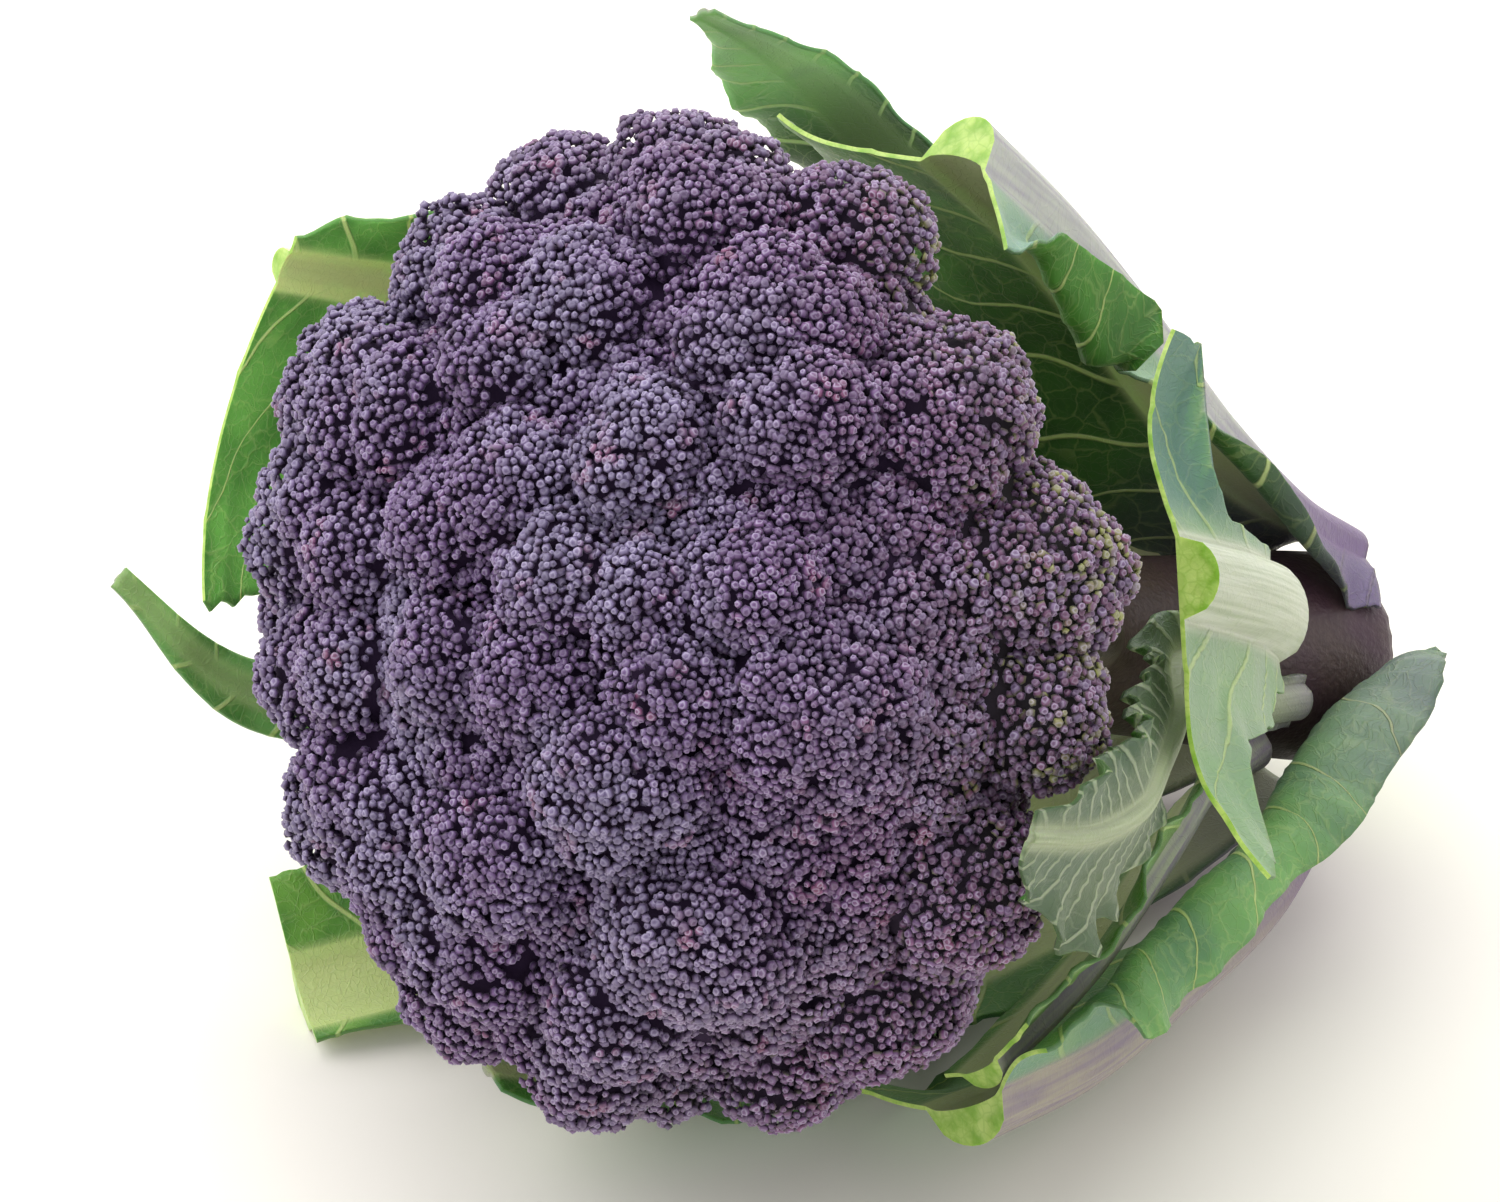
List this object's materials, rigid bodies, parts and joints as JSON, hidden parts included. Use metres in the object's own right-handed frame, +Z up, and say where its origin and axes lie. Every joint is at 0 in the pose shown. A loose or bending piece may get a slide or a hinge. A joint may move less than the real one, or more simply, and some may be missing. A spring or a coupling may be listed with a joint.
{
  "type": "purple broccoli head",
  "caption": "Head of purple broccoli with tight dark violet florets, a pale cut stalk and trimmed curling outer leaves, lying on its side.",
  "frame": {"origin": "on the surface it lies on, under the middle of the lying plant", "axes": "+Z up from the surface; -Y is the side the camera of the picture stood on; the head points to -X, the cut stalk to +X and away"},
  "size_m": [0.2362, 0.1986, 0.1817],
  "materials": {
    "florets": "dark blue-violet buds with a faint waxy bloom",
    "stalk_flesh": "pale green fibrous skin with a moist cut end",
    "leaf_upper": "waxy grey-green outside, bright green inside",
    "leaf_top": "waxy bright green",
    "leaf_near": "pale silvery green with a whitish leaf stalk",
    "leaf_lower": "grey-green blade with a mauve-grey leaf stalk",
    "leaf_young": "pale grey-green with raised pale veins",
    "leaf_back": "bright green with yellow veins",
    "leaf_thin": "bright green",
    "leaf_left": "green blade with a yellow-green leaf stalk",
    "leaf_floor": "dark green",
    "leaf_inner": "bright green"
  },
  "bodies": {
    "root": {"head": "florets", "stalk": "stalk_flesh", "leaf_upper": "leaf_upper", "leaf_top": "leaf_top", "leaf_near": "leaf_near", "leaf_lower": "leaf_lower", "leaf_young": "leaf_young", "leaf_back": "leaf_back", "leaf_thin": "leaf_thin", "leaf_left": "leaf_left", "leaf_floor": "leaf_floor", "leaf_inner": "leaf_inner"}
  },
  "joints": []
}
